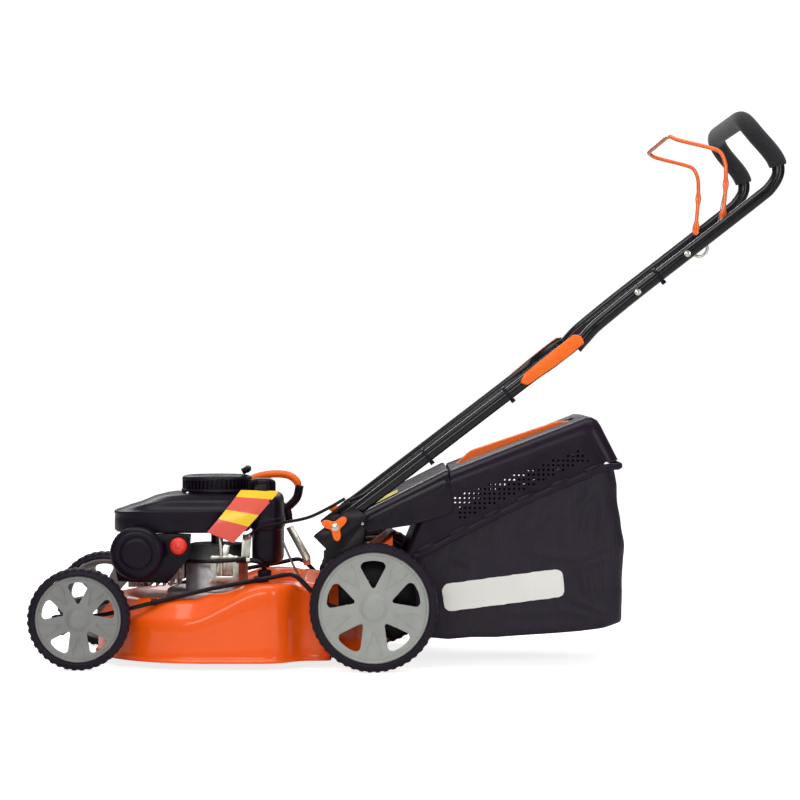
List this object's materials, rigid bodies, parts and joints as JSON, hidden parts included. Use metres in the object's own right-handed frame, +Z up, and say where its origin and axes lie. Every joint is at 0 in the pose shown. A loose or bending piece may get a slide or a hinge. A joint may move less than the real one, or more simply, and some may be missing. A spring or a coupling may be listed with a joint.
{
  "type": "lawn mower",
  "caption": "Petrol walk-behind rotary lawn mower with orange steel deck, folding black handle, sprung bail, single-lever height setting and rear grass catcher.",
  "frame": {"origin": "middle of the footprint on the ground", "axes": "+X to the rear where the user walks, +Y to the mower's right side, +Z up"},
  "size_m": [1.5021, 0.54, 1.115],
  "materials": {
    "deck_paint_orange": "gloss",
    "orange_plastic": "satin",
    "bail_paint_orange": "gloss",
    "black_plastic": "satin",
    "hood_plastic_black": "satin",
    "flap_plastic_black": "satin",
    "handle_paint_black": "gloss",
    "tyre_rubber": "matte",
    "cable_rubber": "satin",
    "grip_foam": "matte",
    "bag_cloth": "matte",
    "front_rim_plastic": "satin",
    "rear_rim_plastic": "satin",
    "steel": "satin",
    "black_steel": "satin",
    "zinc_plated_steel": "satin",
    "cast_aluminium": "matte",
    "primer_rubber_red": "satin"
  },
  "bodies": {
    "deck": {"deck_shell": "deck_paint_orange", "discharge_tunnel": "deck_paint_orange", "handle_bracket_left": "black_steel", "handle_bracket_right": "black_steel", "flap_rod": "zinc_plated_steel", "crankcase": "cast_aluminium", "cylinder": "cast_aluminium", "cylinder_head": "cast_aluminium", "muffler": "zinc_plated_steel", "blower_housing": "black_plastic", "recoil_cover": "black_plastic", "fuel_tank": "black_plastic", "air_filter_base": "black_plastic", "air_filter_cover": "black_plastic", "carburetor": "cast_aluminium", "governor_bracket": "zinc_plated_steel", "oil_filler_tube": "black_plastic", "fuel_line": "cable_rubber", "cable_engine": "cable_rubber"},
    "front_axle": {"front_axle": "black_steel"},
    "front_wheel_left": {"front_tyre_left": "tyre_rubber", "front_rim_left": "front_rim_plastic"},
    "front_wheel_right": {"front_tyre_right": "tyre_rubber", "front_rim_right": "front_rim_plastic"},
    "rear_crank_left": {"rear_crank_left": "black_steel"},
    "rear_crank_right": {"rear_crank_right": "black_steel"},
    "rear_wheel_left": {"rear_tyre_left": "tyre_rubber", "rear_rim_left": "rear_rim_plastic"},
    "rear_wheel_right": {"rear_tyre_right": "tyre_rubber", "rear_rim_right": "rear_rim_plastic"},
    "link_rod_left": {"link_rod_left": "black_steel"},
    "link_rod_right": {"link_rod_right": "black_steel"},
    "height_lever": {"height_lever_strap": "zinc_plated_steel", "height_lever_neck": "black_plastic", "height_lever_grip": "orange_plastic"},
    "engine_rotor": {"crankshaft": "steel", "flywheel": "cast_aluminium", "blade_carrier": "steel", "blade": "steel"},
    "rope_pulley": {"rope_pulley": "black_plastic"},
    "starter_grip": {"starter_grip": "black_plastic"},
    "fuel_cap": {"fuel_cap": "black_plastic"},
    "oil_cap": {"oil_cap": "black_plastic"},
    "primer_bulb": {"primer_bulb": "primer_rubber_red"},
    "brake_lever": {"brake_lever": "zinc_plated_steel"},
    "rear_flap": {"rear_flap": "flap_plastic_black"},
    "catcher": {"catcher_hood": "hood_plastic_black", "catcher_grip": "orange_plastic", "catcher_bag": "bag_cloth"},
    "lower_handle": {"lower_handle_left": "handle_paint_black", "lower_handle_right": "handle_paint_black", "cable_lower": "cable_rubber"},
    "upper_handle": {"upper_handle": "handle_paint_black", "foam_grip": "grip_foam", "cable_upper": "cable_rubber"},
    "bail": {"bail": "bail_paint_orange"},
    "cam_lever_left": {"cam_lever_left": "orange_plastic"},
    "cam_lever_right": {"cam_lever_right": "orange_plastic"},
    "knob_left": {"knob_left": "orange_plastic"},
    "knob_right": {"knob_right": "orange_plastic"}
  },
  "joints": [
    {"name": "front_axle_swing", "type": "hinge", "parent": "deck", "child": "front_axle", "pos_m": [-0.6864, 0, 0.0729], "axis": [0, 1, 0], "range_deg": [0, 60]},
    {"name": "rear_crank_swing_left", "type": "hinge", "parent": "deck", "child": "rear_crank_left", "pos_m": [-0.1005, -0.212, 0.0983], "axis": [0, 1, 0], "range_deg": [0, 60]},
    {"name": "front_wheel_spin_left", "type": "hinge", "parent": "front_axle", "child": "front_wheel_left", "pos_m": [-0.6454, -0.2155, 0.1016], "axis": [0, 1, 0], "continuous": true},
    {"name": "rear_wheel_spin_left", "type": "hinge", "parent": "rear_crank_left", "child": "rear_wheel_left", "pos_m": [-0.0595, -0.245, 0.127], "axis": [0, 1, 0], "continuous": true},
    {"name": "link_rod_turn_left", "type": "hinge", "parent": "rear_crank_left", "child": "link_rod_left", "pos_m": [-0.113, -0.203, 0.12], "axis": [0, 1, 0], "range_deg": [-60, 0]},
    {"name": "knob_turn_left", "type": "hinge", "parent": "deck", "child": "knob_left", "pos_m": [-0.135, -0.262, 0.287], "axis": [0, 1, 0], "continuous": true},
    {"name": "cam_lever_swing_left", "type": "hinge", "parent": "lower_handle", "child": "cam_lever_left", "pos_m": [0.34759, -0.2545, 0.65682], "axis": [-0.6083, 0, 0.7937], "range_deg": [0, 90]},
    {"name": "rear_crank_swing_right", "type": "hinge", "parent": "deck", "child": "rear_crank_right", "pos_m": [-0.1005, 0.212, 0.0983], "axis": [0, 1, 0], "range_deg": [0, 60]},
    {"name": "front_wheel_spin_right", "type": "hinge", "parent": "front_axle", "child": "front_wheel_right", "pos_m": [-0.6454, 0.2155, 0.1016], "axis": [0, 1, 0], "continuous": true},
    {"name": "rear_wheel_spin_right", "type": "hinge", "parent": "rear_crank_right", "child": "rear_wheel_right", "pos_m": [-0.0595, 0.245, 0.127], "axis": [0, 1, 0], "continuous": true},
    {"name": "link_rod_turn_right", "type": "hinge", "parent": "rear_crank_right", "child": "link_rod_right", "pos_m": [-0.113, 0.203, 0.12], "axis": [0, 1, 0], "range_deg": [-60, 0]},
    {"name": "knob_turn_right", "type": "hinge", "parent": "deck", "child": "knob_right", "pos_m": [-0.135, 0.262, 0.287], "axis": [0, 1, 0], "continuous": true},
    {"name": "cam_lever_swing_right", "type": "hinge", "parent": "lower_handle", "child": "cam_lever_right", "pos_m": [0.34759, 0.2545, 0.65682], "axis": [0.6083, 0, -0.7937], "range_deg": [0, 90]},
    {"name": "height_lever_swing", "type": "hinge", "parent": "deck", "child": "height_lever", "pos_m": [-0.205, 0.168, 0.186], "axis": [0, 1, 0], "range_deg": [0, 30]},
    {"name": "engine_spin", "type": "hinge", "parent": "deck", "child": "engine_rotor", "pos_m": [-0.386, 0, 0.2], "axis": [0, 0, 1], "continuous": true},
    {"name": "pulley_turn", "type": "hinge", "parent": "deck", "child": "rope_pulley", "pos_m": [-0.386, 0, 0.354], "axis": [0, 0, 1], "range_deg": [0, 573], "stiffness_Nm_per_rad": 0.01, "springref_deg": -1145.92},
    {"name": "starter_pull", "type": "slide", "parent": "deck", "child": "starter_grip", "axis": [0.8713, 0, 0.4907], "range_m": [0, 0.46]},
    {"name": "fuel_cap_turn", "type": "hinge", "parent": "deck", "child": "fuel_cap", "pos_m": [-0.2885, -0.072, 0.36], "axis": [0, 0, 1], "continuous": true},
    {"name": "oil_cap_turn", "type": "hinge", "parent": "deck", "child": "oil_cap", "pos_m": [-0.282, -0.106, 0.18], "axis": [0, 0, 1], "continuous": true},
    {"name": "primer_press", "type": "slide", "parent": "deck", "child": "primer_bulb", "axis": [0, 1, 0], "range_m": [0, 0.008], "stiffness_N_per_m": 600, "springref_m": -0.002},
    {"name": "brake_lever_turn", "type": "hinge", "parent": "deck", "child": "brake_lever", "pos_m": [-0.372, -0.114, 0.188], "axis": [0, -1, 0], "range_deg": [0, 12]},
    {"name": "flap_open", "type": "hinge", "parent": "deck", "child": "rear_flap", "pos_m": [-0.082, 0, 0.291], "axis": [0, -1, 0], "range_deg": [0, 60], "stiffness_Nm_per_rad": 0.5, "springref_deg": -57.3},
    {"name": "catcher_slide", "type": "slide", "parent": "deck", "child": "catcher", "axis": [1, 0, 0], "range_m": [0, 0.35]},
    {"name": "lower_handle_fold", "type": "hinge", "parent": "deck", "child": "lower_handle", "pos_m": [-0.135, 0, 0.287], "axis": [0, 1, 0], "range_deg": [-100, 0]},
    {"name": "upper_handle_fold", "type": "hinge", "parent": "lower_handle", "child": "upper_handle", "pos_m": [0.34, 0, 0.651], "axis": [0, -1, 0], "range_deg": [0, 120]},
    {"name": "bail_pull", "type": "hinge", "parent": "upper_handle", "child": "bail", "pos_m": [0.634, 0, 0.893], "axis": [0, 1, 0], "range_deg": [0, 34], "stiffness_Nm_per_rad": 1, "springref_deg": -28.65}
  ],
  "couplings": [
    {"joint": "rear_crank_swing_left", "follows": "front_axle_swing", "ratio": 1},
    {"joint": "rear_crank_swing_right", "follows": "front_axle_swing", "ratio": 1},
    {"joint": "link_rod_turn_left", "follows": "front_axle_swing", "ratio": -1},
    {"joint": "link_rod_turn_right", "follows": "front_axle_swing", "ratio": -1},
    {"joint": "height_lever_swing", "follows": "front_axle_swing", "ratio": 0.5},
    {"joint": "starter_pull", "follows": "pulley_turn", "m_per_rad": 0.045},
    {"joint": "brake_lever_turn", "follows": "bail_pull", "ratio": 0.35}
  ]
}
